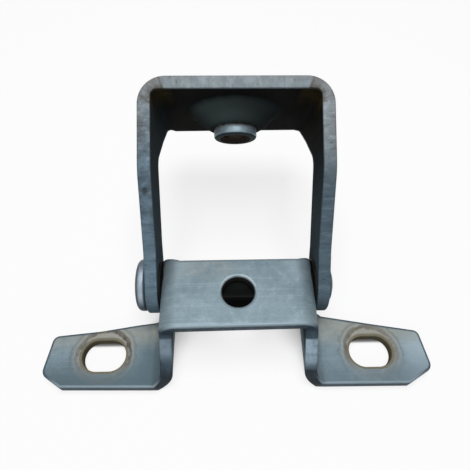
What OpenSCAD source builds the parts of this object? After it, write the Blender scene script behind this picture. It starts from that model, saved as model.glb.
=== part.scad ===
// Tailgate hinge: a pressed base bracket, a U-shaped arm and the pin between them.
// X runs along the pivot, Y away from the bracket's front, Z up from the mounting face.
// The origin lies on the mounting face, midway between the centres of the two slots.

/* [Sheet] */
// Thickness of the steel sheet of both pressings
sheet_t = 3.5; // [3:0.1:4]
// Inner radius of the two bends between the bridge and the walls
bend_r = 1.5; // [1:0.1:2]
// Inner radius of the two bends between the walls and the feet
foot_bend_r = 3; // [1.5:0.1:3.4]

/* [Bridge] */
// Width over the bracket's two walls
bracket_w = 44; // [38:1:54]
// Height of the bridge's top above the mounting face
bridge_h = 19.6; // [18.8:0.2:24]
// Distance from the slots' centre line back to the bridge's front edge
bridge_front_y = 2.8; // [1:0.2:4]
// Length of the bridge from front to back
bridge_l = 19.8; // [18:0.1:23]
// Diameter of the round hole in the bridge
bridge_hole_d = 9.3; // [6:0.1:11]
// Distance from the bridge's front edge to the centre of its hole
bridge_hole_y = 9.8; // [8:0.1:11]
// Width of the broken edge round the bridge's hole
hole_edge = 0.35; // [0.2:0.05:0.6]
// Radius of the ear that each wall forms behind the pin
wall_ear_r = 7.6; // [6.4:0.1:7.8]

/* [Feet] */
// Length of a foot from the wall's outer face to its end
foot_l = 34.4; // [31:0.2:42]
// Distance from the slots' centre line forward to the feet's front edge
foot_front = 9.4; // [8:0.1:12]
// Distance from the slots' centre line back to a foot's rear corner at its end
foot_rear = 6; // [5.4:0.1:7]
// How much further back the right-hand foot's rear edge is where it meets the wall
right_taper = 5.2; // [1:0.1:5.4]
// How much further back the left-hand foot's rear edge is where it meets the wall
left_taper = 3; // [1:0.1:5.4]
// Length along X of the corner cut off a foot's front end
foot_cut_x = 6.6; // [4:0.1:8]
// Length along Y of that corner
foot_cut_y = 4.4; // [3:0.1:6]
// Distance from the wall's outer face to a slot's centre
slot_in = 17.2; // [16:0.1:19]
// Width of a slot
slot_w = 9; // [6.5:0.1:9.4]
// Length of a slot along X
slot_l = 12.6; // [11:0.1:15]
// Height above the mounting face at which the wall's front edge starts to slant back
slant_z = 6.6; // [6:0.1:8]
// Distance from the feet's front edge back to that point
slant_y = 3; // [1.5:0.1:4]

/* [Pivot] */
// Distance from the bridge's rear edge forward to the pivot
pivot_inset = 4; // [3.4:0.1:5]
// Gap between the bridge's underside and the pin
pin_drop = 0.5; // [0.2:0.1:0.8]
// Diameter of the pin
pin_d = 8; // [6:0.5:8]
// Diameter of the pin's forged head
head_d = 15.4; // [12:0.1:16]
// Height of the pin's forged head
head_h = 3.3; // [2.4:0.1:4.5]
// Diameter of the pin's hammered end
rivet_d = 11.2; // [10:0.1:13]
// Height of the pin's hammered end
rivet_h = 1.7; // [1.2:0.1:2.5]
// Wall of the bush in each of the arm's eyes
bush_wall = 0.8; // [0.5:0.1:1.2]
// Thickness of a bush's flange
bush_flange_t = 0.6; // [0.4:0.1:1]
// Diameter of a bush's flange
bush_flange_d = 14.6; // [12.4:0.1:15]
// Radial gap between the turning bush and the pin
running_gap = 0.05; // [0.03:0.01:0.1]
// Radial gap of the pieces pressed into each other
press_gap = 0.02; // [0.01:0.01:0.03]
// Side gap between faces that turn against each other
side_gap = 0.1; // [0.1:0.01:0.2]

/* [Arm] */
// Angle of the arm above the mounting face
arm_angle = 29; // [0:1:60]
// Distance from the pivot to the outer face of the arm's web
arm_l = 55.9; // [54:0.1:66]
// Inner radius of the arm's two bends
arm_bend_r = 2.5; // [1.5:0.1:3]
// Distance from the leg's centre line to the web's front edge
web_front = 18.5; // [17:0.1:20]
// Distance from the leg's centre line to the web's rear edge
web_rear = 19.7; // [18:0.1:22]
// Radius of the round eye at the end of each leg
eye_r = 8.3; // [7.8:0.1:9]
// Distance from the web's outer face to where the leg's front edge turns in
front_turn = 24.9; // [20:0.1:27]
// Distance from the web's outer face to the root of the leg's rear shoulder
shoulder_l = 19.5; // [16:0.1:21]
// Width of a leg at the root of its shoulder
neck_w = 13.4; // [11:0.1:15]

/* [Dish and collar] */
// Diameter of the dish pressed into the web
dish_d = 29.8; // [26:0.1:32]
// Depth of the dish
dish_h = 5.2; // [3.5:0.1:6]
// Outer diameter of the threaded collar
collar_d = 13; // [12:0.1:14.4]
// Height of the collar above the dish
collar_h = 3.1; // [2.4:0.1:5]
// Core diameter of the collar's thread
thread_core_d = 6.8; // [5:0.1:7.4]
// Diameter of the lead-in at the collar's open end
lead_in_d = 9.7; // [8.4:0.1:10]
// Wall between the thread and the collar's pilot in the sheet
pilot_wall = 1.6; // [1.2:0.1:1.8]

/* [Hidden] */

$fn = 96;
corner_steps = 8;
dish_steps = 8;
past = 1;

steel = "lightsteelblue";
pin_steel = "slategray";
polymer = "#2b2b2e";

// Places across the width, from the middle plane
wall_x = bracket_w / 2;
arm_in_x = wall_x + bush_flange_t + side_gap;
arm_out_x = arm_in_x + sheet_t;
head_seat_x = arm_out_x + side_gap;
foot_x = wall_x + foot_l;
slot_x = wall_x + slot_in;

// Places in the bracket's side view
bend_out_r = bend_r + sheet_t;
foot_bend_out_r = foot_bend_r + sheet_t;
arm_bend_out_r = arm_bend_r + sheet_t;
bridge_back_y = bridge_front_y + bridge_l;
pin_r = pin_d / 2;
pivot_y = bridge_back_y - pivot_inset;
pivot_z = bridge_h - sheet_t - pin_drop - pin_r;
ear_back_y = pivot_y + wall_ear_r;

// Radii on the pivot
bush_in_r = pin_r + running_gap;
bush_out_r = bush_in_r + bush_wall;
eye_bore_r = bush_out_r + press_gap;
wall_bore_r = pin_r + press_gap;

// Radii of the corners of the outlines
small_round = 1.2;
corner_round = 2;
shoulder_round = 4;
rear_waist_round = 9;
long_round = 14;

// The arm in its own frame: Y from the pivot along the legs, Z across them
web_in = arm_l - sheet_t;
front_waist = [0.17 * arm_l, 1.23 * eye_r];
rear_waist = [0.215 * arm_l, -0.28 * eye_r];
dish_z = (web_front - web_rear) / 2;
dish_r = dish_d / 2;
dish_seat_r = collar_d / 2 + 0.5;
recess_inset = 0.3 * sheet_t;
pilot_r = thread_core_d / 2 + pilot_wall;

// Points of an arc of radius r that rounds the corner b between a and c
function corner_arc(a, b, c, r) =
    r == 0 ? [b] :
    let (
        u = (a - b) / norm(a - b),
        v = (c - b) / norm(c - b),
        half = acos(u * v) / 2,
        mid = (u + v) / norm(u + v),
        centre = b + mid * r / sin(half),
        from = b + u * r / tan(half) - centre,
        turn = sign(cross(-u, v)) * (180 - 2 * half)
    )
    [for (i = [0:corner_steps])
        let (s = turn * i / corner_steps)
        centre + [from.x * cos(s) - from.y * sin(s), from.x * sin(s) + from.y * cos(s)]];

// Closed outline with each corner rounded by its own radius; corners are [x, y, radius]
function rounded_outline(corners) =
    let (n = len(corners))
    [for (i = [0:n - 1])
        let (
            a = corners[(i + n - 1) % n],
            b = corners[i],
            c = corners[(i + 1) % n]
        )
        each corner_arc([a.x, a.y], [b.x, b.y], [c.x, c.y], b[2])];

// Rounding of a right-angled corner at the origin, as the waste to take off it
module corner_waste(r) {
    difference() {
        translate([-past, -past]) square(r + past);
        translate([r, r]) circle(r);
    }
}

// Rectangle from [-x, y0] to [x, y1] with its two upper corners rounded
module arched_rect(x, y0, y1, r) {
    difference() {
        translate([-x, y0]) square([2 * x, y1 - y0]);
        for (side = [0, 1])
            mirror([side, 0])
                translate([x, y1]) rotate(180) corner_waste(r);
    }
}

// Carries a drawing of a side view, with Y across and Z up, over the width 2 * x
module side_slab(x) {
    translate([-x, 0, 0]) rotate([90, 0, 90]) linear_extrude(2 * x) children();
}

// Carries a drawing of a side view from the middle plane out to x
module half_slab(x) {
    rotate([90, 0, 90]) linear_extrude(x) children();
}

// Front view of the bent sheet: bridge, walls, feet and their four bends
module hat_section() {
    difference() {
        union() {
            arched_rect(wall_x, 0, bridge_h, bend_out_r);
            translate([-foot_x, 0]) square([2 * foot_x, sheet_t]);
            for (side = [0, 1])
                mirror([side, 0])
                    translate([wall_x, sheet_t]) corner_waste(foot_bend_r);
        }
        arched_rect(wall_x - sheet_t, -past, bridge_h - sheet_t, bend_r);
        for (side = [0, 1])
            mirror([side, 0])
                translate([wall_x - sheet_t, 0]) corner_waste(foot_bend_out_r);
    }
}

// Side view of the walls: slanted front edge, and an ear behind the pin
module wall_outline(root_y) {
    slant_top = bridge_h - bend_out_r;
    step_z = 0.6 * sheet_t;
    ear_foot_z = pivot_z - wall_ear_r;
    polygon(rounded_outline([
        [bridge_front_y, bridge_h + past, 0],
        [bridge_front_y, slant_top, small_round],
        [slant_y - foot_front, slant_z, corner_round],
        [-foot_front, step_z, small_round],
        [-foot_front, -past, 0],
        [root_y, -past, 0],
        [root_y, 0, 0],
        [pivot_y, ear_foot_z, 0],
        [ear_back_y, ear_foot_z, wall_ear_r - 0.1],
        [ear_back_y, pivot_z, 0],
        [bridge_back_y, bridge_h - small_round, 0],
        [bridge_back_y, bridge_h + past, 0]
    ]));
}

// The part of that view which reaches over the bend into a foot
module foot_bend_outline(root_y) {
    intersection() {
        wall_outline(root_y);
        translate([-foot_front - past, -past])
            square([foot_front + root_y + past, foot_bend_out_r + 2 * past]);
    }
}

// Plan view of one foot, with its front corner cut off and its rear edge tapered
module foot_outline(taper) {
    root_x = wall_x + foot_bend_r;
    end_lean = 1.6;
    rear_bend_x = slot_x + slot_w / 5;
    polygon(rounded_outline([
        [wall_x + foot_bend_r / 2, -foot_front, 0],
        [foot_x - foot_cut_x, -foot_front, corner_round],
        [foot_x, foot_cut_y - foot_front, corner_round],
        [foot_x - end_lean, foot_rear, corner_round],
        [rear_bend_x, foot_rear + 0.45 * taper, long_round],
        [root_x, foot_rear + taper, 0],
        [wall_x + foot_bend_r / 2, foot_rear + taper, 0]
    ]));
}

// Round-ended hole through the sheet
module slot_cut(length, width, depth) {
    straight = length - width;
    for (side = [-1, 1])
        translate([side * straight / 2, 0, 0]) cylinder(h = depth, d = width);
    translate([-straight / 2, -width / 2, 0]) cube([straight, width, depth]);
}

// Round hole in the bridge, with a broken edge on top
module bridge_hole_cut() {
    translate([0, bridge_front_y + bridge_hole_y, bridge_h - sheet_t - past])
        cylinder(h = sheet_t + 2 * past, d = bridge_hole_d);
    translate([0, bridge_front_y + bridge_hole_y, bridge_h - hole_edge])
        cylinder(h = 2 * hole_edge, d1 = bridge_hole_d, d2 = bridge_hole_d + 4 * hole_edge);
}

// Space that one half of the bracket's blank fills when it is bent
module half_bracket_space(taper) {
    root_y = foot_rear + taper;
    half_slab(wall_x) wall_outline(root_y);
    half_slab(wall_x + foot_bend_r) foot_bend_outline(root_y);
    linear_extrude(sheet_t + foot_bend_r) foot_outline(taper);
}

module base_bracket() {
    section_l = foot_front + ear_back_y + 2 * past;
    color(steel)
    difference() {
        intersection() {
            translate([0, ear_back_y + past, 0])
                rotate([90, 0, 0]) linear_extrude(section_l) hat_section();
            union() {
                half_bracket_space(right_taper);
                mirror([1, 0, 0]) half_bracket_space(left_taper);
            }
        }
        for (side = [-1, 1])
            translate([side * slot_x, 0, -past]) slot_cut(slot_l, slot_w, sheet_t + 2 * past);
        bridge_hole_cut();
        translate([0, pivot_y, pivot_z]) rotate([0, 90, 0])
            cylinder(h = bracket_w + 2 * past, r = wall_bore_r, center = true);
    }
}

// Side view of the arm, along the leg and across it: web, shoulder, neck and eye
module leg_outline() {
    polygon(rounded_outline([
        [arm_l, web_front, 0],
        [arm_l - front_turn, web_front, long_round],
        [front_waist.x, front_waist.y, long_round],
        [0, eye_r, 0],
        [-eye_r, eye_r, eye_r - 0.1],
        [-eye_r, -eye_r, eye_r - 0.1],
        [0, -eye_r, 0],
        [rear_waist.x, rear_waist.y, rear_waist_round],
        [arm_l - shoulder_l, web_front - neck_w, shoulder_round],
        [web_in + small_round, -web_rear, small_round],
        [arm_l, -web_rear, 0]
    ]));
}

// Depth of the pressed dish at a share s of the way from its rim to its seat
function dish_depth(s) = dish_h * (1 - cos(180 * s)) / 2;

// Round form of the dish between its rim and its flat seat, with its axis along Z
module dish_form(rim_r, seat_r, base) {
    rotate_extrude() polygon([
        [0, -base],
        [rim_r, -base],
        for (i = [0:dish_steps])
            let (s = i / dish_steps)
            [rim_r + (seat_r - rim_r) * s, dish_depth(s)],
        [0, dish_h]
    ]);
}

// Turns a form built along Z so that it points from the web back towards the pivot
module on_web(depth) {
    translate([0, depth, dish_z]) rotate([90, 0, 0]) children();
}

// Moves a form from the arm's own frame to its place on the pivot
module at_pivot() {
    translate([0, pivot_y, pivot_z]) rotate([arm_angle, 0, 0]) children();
}

module hinge_arm() {
    color(steel)
    at_pivot() difference() {
        union() {
            intersection() {
                translate([0, 0, -web_rear - past])
                    linear_extrude(web_front + web_rear + 2 * past) difference() {
                        arched_rect(arm_out_x, -eye_r - past, arm_l, arm_bend_out_r);
                        arched_rect(arm_in_x, -eye_r - 2 * past, web_in, arm_bend_r);
                    }
                side_slab(arm_out_x + past) leg_outline();
            }
            on_web(web_in) dish_form(dish_r, dish_seat_r, sheet_t / 2);
        }
        on_web(arm_l) dish_form(dish_r - recess_inset, dish_seat_r - recess_inset, past);
        on_web(arm_l) cylinder(h = sheet_t + dish_h + past, r = pilot_r + press_gap);
        rotate([0, 90, 0])
            cylinder(h = 2 * arm_out_x + 2 * past, r = eye_bore_r, center = true);
    }
}

// Turned profile of the pin, along its axis from the middle of its length
module pin_profile() {
    head_r = head_d / 2;
    rivet_r = rivet_d / 2;
    head_end = head_seat_x + head_h;
    rivet_end = head_seat_x + rivet_h;
    polygon(rounded_outline([
        [0, rivet_end, 0],
        [0.6 * rivet_r, rivet_end, small_round],
        [rivet_r, head_seat_x + 0.55 * rivet_h, 0.4],
        [rivet_r - 0.2, head_seat_x, 0],
        [pin_r, head_seat_x, 0],
        [pin_r, -head_seat_x, 0],
        [head_r - 0.5, -head_seat_x, 0],
        [head_r, -head_seat_x - 0.6, 0.4],
        [head_r, -head_end + 0.5, 0.45 * head_h],
        [0.35 * head_r, -head_end, corner_round],
        [0, -head_end, 0]
    ]));
}

module hinge_pin() {
    color(pin_steel)
    translate([0, pivot_y, pivot_z]) rotate([0, 90, 0]) rotate_extrude() pin_profile();
}

// Flanged bush for the right-hand eye, with its axis along X
module bush() {
    flange_r = bush_flange_d / 2;
    flange_edge = 0.2;
    nose_edge = 0.3;
    color(polymer)
    translate([arm_in_x, pivot_y, pivot_z]) rotate([0, 90, 0]) rotate_extrude()
        polygon([
            [bush_in_r, -bush_flange_t],
            [flange_r - flange_edge, -bush_flange_t],
            [flange_r, flange_edge - bush_flange_t],
            [flange_r, 0],
            [bush_out_r, 0],
            [bush_out_r, sheet_t - nose_edge],
            [bush_out_r - nose_edge, sheet_t],
            [bush_in_r, sheet_t]
        ]);
}

module bush_right() {
    bush();
}

module bush_left() {
    mirror([1, 0, 0]) bush();
}

// Collar with its pilot in the dish, drawn along Z from the recess to its open end
module threaded_collar() {
    collar_r = collar_d / 2;
    core_r = thread_core_d / 2;
    lead_in_r = lead_in_d / 2;
    end = sheet_t + collar_h;
    rim = 0.8;
    back_lead_in = 0.5;
    color(pin_steel)
    at_pivot() on_web(arm_l - dish_h) rotate_extrude() polygon(rounded_outline([
        [core_r + back_lead_in, 0, 0],
        [pilot_r, 0, 0],
        [pilot_r, sheet_t, 0],
        [collar_r, sheet_t, 0],
        [collar_r, end, rim],
        [lead_in_r, end, 0],
        [core_r, end - (lead_in_r - core_r), 0],
        [core_r, back_lead_in, 0]
    ]));
}

base_bracket();
hinge_arm();
hinge_pin();
bush_left();
bush_right();
threaded_collar();
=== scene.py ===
import math

import bmesh
import bpy
from mathutils import Matrix, Vector
from mathutils.geometry import delaunay_2d_cdt


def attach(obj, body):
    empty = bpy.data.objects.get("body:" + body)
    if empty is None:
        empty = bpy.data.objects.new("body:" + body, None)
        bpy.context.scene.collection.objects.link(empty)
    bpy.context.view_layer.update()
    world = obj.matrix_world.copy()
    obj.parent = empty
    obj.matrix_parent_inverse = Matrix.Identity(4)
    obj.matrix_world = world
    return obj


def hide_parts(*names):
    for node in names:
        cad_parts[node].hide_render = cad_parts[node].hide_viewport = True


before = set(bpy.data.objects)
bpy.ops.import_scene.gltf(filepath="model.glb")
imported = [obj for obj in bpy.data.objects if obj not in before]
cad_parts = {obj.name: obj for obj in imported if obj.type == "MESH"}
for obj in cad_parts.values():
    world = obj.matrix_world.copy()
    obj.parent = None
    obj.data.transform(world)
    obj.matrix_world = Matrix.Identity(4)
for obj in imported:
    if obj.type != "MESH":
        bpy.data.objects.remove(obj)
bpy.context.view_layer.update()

# The hinge's sizes, in millimetres
MM = 0.001
SHEET_T = 3.5
BEND_R = 1.5
FOOT_BEND_R = 3
BRACKET_W = 44
BRIDGE_H = 19.6
BRIDGE_FRONT_Y = 2.8
BRIDGE_L = 19.8
BRIDGE_HOLE_D = 9.3
BRIDGE_HOLE_Y = 9.8
WALL_EAR_R = 7.6
FOOT_L = 34.4
FOOT_FRONT = 9.4
FOOT_REAR = 6
RIGHT_TAPER = 5.2
LEFT_TAPER = 3
FOOT_CUT_X = 6.6
FOOT_CUT_Y = 4.4
SLOT_IN = 17.2
SLOT_W = 9
SLOT_L = 12.6
SLANT_Z = 6.6
SLANT_Y = 3
PIVOT_INSET = 4
PIN_DROP = 0.5
PIN_D = 8
HEAD_D = 15.4
HEAD_H = 3.3
RIVET_D = 11.2
RIVET_H = 1.7
BUSH_WALL = 0.8
BUSH_FLANGE_T = 0.6
BUSH_FLANGE_D = 14.6
RUNNING_GAP = 0.05
PRESS_GAP = 0.02
SIDE_GAP = 0.1
ARM_ANGLE = math.radians(29)
ARM_L = 55.9
ARM_BEND_R = 2.5
WEB_FRONT = 18.5
WEB_REAR = 19.7
EYE_R = 8.3
FRONT_TURN = 24.9
SHOULDER_L = 19.5
NECK_W = 13.4
DISH_D = 29.8
DISH_H = 5.2
COLLAR_D = 13
COLLAR_H = 3.1
THREAD_CORE_D = 6.8
LEAD_IN_D = 9.7
PILOT_WALL = 1.6

# The real thread, which the part's solid leaves as a plain core hole
THREAD_D = 8
THREAD_PITCH = 1.25

# Corner radii of the two blanks
SMALL_ROUND = 1.6
CORNER_ROUND = 2
SLANT_ROUND = 2.5
FOOT_FRONT_ROUND = 3
FOOT_CUT_ROUND = 2.6
SHOULDER_ROUND = 4
REAR_WAIST_ROUND = 9
LONG_ROUND = 14
# How much smaller than a full end's radius its two corners are rounded
ROUND_CLEAR = 0.1

# Places that follow from the sizes
HALF_T = SHEET_T / 2
WALL_X = BRACKET_W / 2
ARM_IN_X = WALL_X + BUSH_FLANGE_T + SIDE_GAP
ARM_OUT_X = ARM_IN_X + SHEET_T
HEAD_SEAT_X = ARM_OUT_X + SIDE_GAP
BEND_OUT_R = BEND_R + SHEET_T
FOOT_BEND_OUT_R = FOOT_BEND_R + SHEET_T
ARM_BEND_OUT_R = ARM_BEND_R + SHEET_T
BRIDGE_BACK_Y = BRIDGE_FRONT_Y + BRIDGE_L
PIN_R = PIN_D / 2
PIVOT_Y = BRIDGE_BACK_Y - PIVOT_INSET
PIVOT_Z = BRIDGE_H - SHEET_T - PIN_DROP - PIN_R
EAR_BACK_Y = PIVOT_Y + WALL_EAR_R
BUSH_IN_R = PIN_R + RUNNING_GAP
BUSH_OUT_R = BUSH_IN_R + BUSH_WALL
EYE_BORE_R = BUSH_OUT_R + PRESS_GAP
WALL_BORE_R = PIN_R + PRESS_GAP
DISH_Z = (WEB_FRONT - WEB_REAR) / 2
DISH_R = DISH_D / 2
DISH_SEAT_R = COLLAR_D / 2 + 0.5
RECESS_INSET = 0.3 * SHEET_T
PILOT_R = THREAD_CORE_D / 2 + PILOT_WALL
FRONT_WAIST = (0.17 * ARM_L, 1.23 * EYE_R)
REAR_WAIST = (0.215 * ARM_L, -0.28 * EYE_R)

PIVOT = Matrix.Translation((0, PIVOT_Y, PIVOT_Z))
ARM_FRAME = PIVOT @ Matrix.Rotation(ARM_ANGLE, 4, "X")


# Outlines


def corner_arc(before, corner, after, radius, steps):
    """Points of the arc that rounds a corner between its two neighbours."""
    if radius == 0:
        return [corner]
    back = (before - corner).normalized()
    on = (after - corner).normalized()
    half = back.angle(on) / 2
    centre = corner + (back + on).normalized() * radius / math.sin(half)
    start = corner + back * radius / math.tan(half) - centre
    turn = math.pi - 2 * half
    if back.cross(on) > 0:
        turn = -turn
    return [centre + Matrix.Rotation(turn * i / steps, 2) @ start for i in range(steps + 1)]


def rounded(corners, steps=8):
    """Closed outline whose corners are (x, y, radius)."""
    points = [Vector(c[:2]) for c in corners]
    outline = []
    for i, corner in enumerate(corners):
        after = points[(i + 1) % len(points)]
        outline += corner_arc(points[i - 1], points[i], after, corner[2], steps)
    return outline


def circle(centre, radius, steps=48):
    """Closed round outline."""
    return slot(centre, 2 * radius, 2 * radius, steps)


def slot(centre, length, width, steps=48):
    """Closed outline of a round-ended slot along the first axis."""
    half = (length - width) / 2
    outline = []
    for i in range(steps):
        turn = 2 * math.pi * (i + 0.5) / steps
        side = half if math.cos(turn) > 0 else -half
        spot = Vector((side + width / 2 * math.cos(turn), width / 2 * math.sin(turn)))
        outline.append(Vector(centre) + spot)
    return outline


def spaced(outline, step):
    """The same outline with long straight stretches divided and near points merged."""
    kept = [p for i, p in enumerate(outline) if (p - outline[i - 1]).length > step / 3]
    points = []
    for i, start in enumerate(kept):
        end = kept[(i + 1) % len(kept)]
        parts = max(1, round((end - start).length / step))
        points += [start.lerp(end, k / parts) for k in range(parts)]
    return points


def wound(outline, way):
    """The outline run anticlockwise (way 1) or clockwise (way -1)."""
    area = sum(outline[i - 1].cross(b) for i, b in enumerate(outline))
    return outline if area * way > 0 else outline[::-1]


def inset(outline, distance):
    """The outline moved to its left, where the sheet is, by a distance."""
    moved = []
    for i, point in enumerate(outline):
        along_before = (point - outline[i - 1]).normalized()
        along_after = (outline[(i + 1) % len(outline)] - point).normalized()
        along = (along_before + along_after).normalized()
        left = Vector((-along.y, along.x))
        stretch = max(0.5, along.dot(along_after))
        moved.append(point + left * distance / stretch)
    return moved


def encloses(outline, point):
    """Whether a closed outline goes round a point."""
    inside = False
    for i, b in enumerate(outline):
        a = outline[i - 1]
        if (a.y > point.y) != (b.y > point.y):
            if point.x < (b.x - a.x) * (point.y - a.y) / (b.y - a.y) + a.x:
                inside = not inside
    return inside


# Bent sheet


class Section:
    """Half of a bent sheet's middle line, from the middle plane outwards."""

    def __init__(self, start, runs):
        self.start = Vector(start)
        self.runs = runs

    def length(self):
        return sum(abs(size) * radius if radius else size for radius, size in self.runs)

    def at(self, u):
        """Point and left-hand normal of the line at length u from its middle."""
        point = self.start.copy()
        heading = Vector((1, 0))
        left = abs(u)
        for radius, size in self.runs:
            length = abs(size) * radius if radius else size
            share = min(1, left / length)
            if radius:
                turn = size * share
                side = math.copysign(1, size)
                arm = Vector((-heading.y, heading.x)) * radius * side
                point = point + arm - Matrix.Rotation(turn, 2) @ arm
                heading = Matrix.Rotation(turn, 2) @ heading
            else:
                point = point + heading * length * share
            left -= length
            if left <= 0:
                break
        normal = Vector((-heading.y, heading.x))
        if u < 0:
            point.x = -point.x
            normal.x = -normal.x
        return point, normal


# Radii of a cut edge on its rolled and its burr side, and the flat strip beside it
EDGE_ROLL = 0.55
EDGE_BURR = 0.22
EDGE_REST = 0.3
EDGE_STEPS = 4
# Spacing of the points along a cut, and how far the grid stays clear of it
CUT_STEP = 0.8
CUT_CLEAR = 0.35
# The triangulation's mode that keeps what lies inside the outline
INSIDE = 1
WELD = 1e-5


def edge_profile(roll, burr):
    """Cut edge of a blanked sheet as (inset, height) from its rolled to its burr side."""
    turns = [math.pi / 2 * k / EDGE_STEPS for k in range(EDGE_STEPS + 1)]
    rolled = [(roll * (1 - math.sin(t)), HALF_T - roll * (1 - math.cos(t))) for t in turns]
    sharp = [(burr * (1 - math.cos(t)), -HALF_T + burr * (1 - math.sin(t))) for t in turns]
    return rolled + sharp


def mesh_piece(name, points, faces, material):
    """Makes an object of points in millimetres."""
    mesh = bpy.data.meshes.new(name)
    mesh.from_pydata([p * MM for p in points], [], faces)
    outward = bmesh.new()
    outward.from_mesh(mesh)
    bmesh.ops.recalc_face_normals(outward, faces=outward.faces)
    outward.to_mesh(mesh)
    outward.free()
    mesh.polygons.foreach_set("use_smooth", [True] * len(mesh.polygons))
    mesh.materials.append(material)
    piece = bpy.data.objects.new(name, mesh)
    bpy.context.scene.collection.objects.link(piece)
    return piece


def bent_sheet(name, outline, holes, grid, place, material):
    """Sheet piece from its flat blank, with rounded cut edges; place bends the blank."""
    loops = [wound(spaced(outline, CUT_STEP), 1)]
    loops += [wound(spaced(hole, CUT_STEP), -1) for hole in holes]
    profile = edge_profile(EDGE_ROLL, EDGE_BURR)
    rest = max(EDGE_ROLL, EDGE_BURR) + EDGE_REST
    flat = []
    rings = []
    for loop in loops:
        rings.append(range(len(flat), len(flat) + len(loop)))
        flat += inset(loop, rest)
    bored = [[flat[i] for i in ring] for ring in rings[1:]]
    clear = [inset(loop, rest + CUT_CLEAR) for loop in loops]
    for spot in grid:
        if encloses(clear[0], spot) and not any(encloses(h, spot) for h in clear[1:]):
            flat.append(spot)
    edges = [(ring[i - 1], ring[i]) for ring in rings for i in range(len(ring))]
    spots, _, triangles, origins, _, _ = delaunay_2d_cdt(flat, edges, [], INSIDE, WELD)
    points = [place(p.x, p.y, h * HALF_T) for h in (1, -1) for p in spots]
    blank = [(p.x, p.y, h * HALF_T) for h in (1, -1) for p in spots]
    rim = [0.0] * len(points)
    faces = []
    for corners in triangles:
        middle = sum((spots[i] for i in corners), Vector((0, 0))) / 3
        if not any(encloses(hole, middle) for hole in bored):
            faces.append(list(corners))
            faces.append([i + len(spots) for i in reversed(corners)])
    where = {origin[0]: i for i, origin in enumerate(origins) if origin}
    for ring, loop in zip(rings, loops):
        above = [where[i] for i in ring]
        for depth, height in profile:
            below = list(range(len(points), len(points) + len(loop)))
            for p in inset(loop, depth):
                points.append(place(p.x, p.y, height))
                blank.append((p.x, p.y, height))
                rim.append(1.0)
            faces += strip(above, below)
            above = below
        faces += strip(above, [where[i] + len(spots) for i in ring])
    piece = mesh_piece(name, points, faces, material)
    keep_vectors(piece.data, "blank", blank)
    edge = piece.data.attributes.new("rim", "FLOAT", "POINT")
    edge.data.foreach_set("value", rim)
    return piece


def strip(above, below):
    """Faces between two rings of points."""
    return [(above[i - 1], above[i], below[i], below[i - 1]) for i in range(len(above))]


def keep_vectors(mesh, name, vectors):
    """Stores a vector for each point, for the materials."""
    kept = mesh.attributes.new(name, "FLOAT_VECTOR", "POINT")
    kept.data.foreach_set("vector", [c for vector in vectors for c in vector])


def steps_between(start, end, step):
    """Evenly spaced values from start to end."""
    parts = max(1, math.ceil((end - start) / step))
    return [start + (end - start) * k / parts for k in range(parts + 1)]


def grid_spots(stops, v0, v1, coarse, fine):
    """Grid over a blank, fine along u across its bends; stops are (u, bent beyond it)."""
    columns = []
    for (u, bent), (u_next, _) in zip(stops, stops[1:]):
        columns += steps_between(u, u_next, fine if bent else coarse)[:-1]
    columns = [-u for u in reversed(columns) if u > 0] + columns
    rows = steps_between(v0, v1, coarse)
    return [Vector((u, v)) for u in columns for v in rows]


# Spacing of the points inside the blanks, and the steps round what is turned
GRID = 2.2
BEND_GRID = 0.55
DISH_GRID = 0.6
DISH_STEPS = 72
# Where the dish's rings start outside the pilot's hole, end outside the dish, and the plain grid begins
RINGS_FROM = 1.6
RINGS_PAST = 0.4
GRID_PAST = 1
TURN_STEPS = 96
QUARTER = math.pi / 2


# Base bracket: lengths u along its section, from the middle of the bridge


BRIDGE_MID_R = BEND_R + HALF_T
FOOT_MID_R = FOOT_BEND_R + HALF_T
U_BRIDGE_END = WALL_X - BEND_OUT_R
U_WALL = U_BRIDGE_END + BRIDGE_MID_R * QUARTER
WALL_STRAIGHT = BRIDGE_H - BEND_OUT_R - FOOT_BEND_OUT_R
U_WALL_END = U_WALL + WALL_STRAIGHT
U_FOOT = U_WALL_END + FOOT_MID_R * QUARTER
FOOT_X = WALL_X + FOOT_L
SLOT_X = WALL_X + SLOT_IN

bracket_section = Section(
    (0, BRIDGE_H - HALF_T),
    [
        (0, U_BRIDGE_END),
        (BRIDGE_MID_R, -QUARTER),
        (0, WALL_STRAIGHT),
        (FOOT_MID_R, QUARTER),
        (0, FOOT_X - WALL_X - FOOT_BEND_R),
    ],
)
channel_section = Section(
    (0, BRIDGE_H - HALF_T),
    [(0, U_BRIDGE_END), (BRIDGE_MID_R, -QUARTER), (0, BRIDGE_H)],
)


def wall_u(z):
    """Length along the section at height z on a wall or its lower bend."""
    if z >= FOOT_BEND_OUT_R:
        return U_WALL + BRIDGE_H - BEND_OUT_R - z
    return U_WALL_END + FOOT_MID_R * math.asin(min(1, (FOOT_BEND_OUT_R - z) / FOOT_MID_R))


def foot_u(x):
    """Length along the section at distance x from the middle on a foot."""
    return U_FOOT + x - WALL_X - FOOT_BEND_R


def mirrored(corners):
    """The other half of an outline that starts and ends on the middle line."""
    return [(-u, v, r) for u, v, r in reversed(corners)]


def smooth_share(value, low, high):
    """Runs smoothly from 0 at low to 1 at high."""
    share = min(1, max(0, (value - low) / (high - low)))
    return share * share * (3 - 2 * share)


# How far behind a foot its bend fades into the straight ear
EAR_BLEND = 4
# How much a foot's end slants inwards to its rear
FOOT_END_SLANT = 1.6


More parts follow.
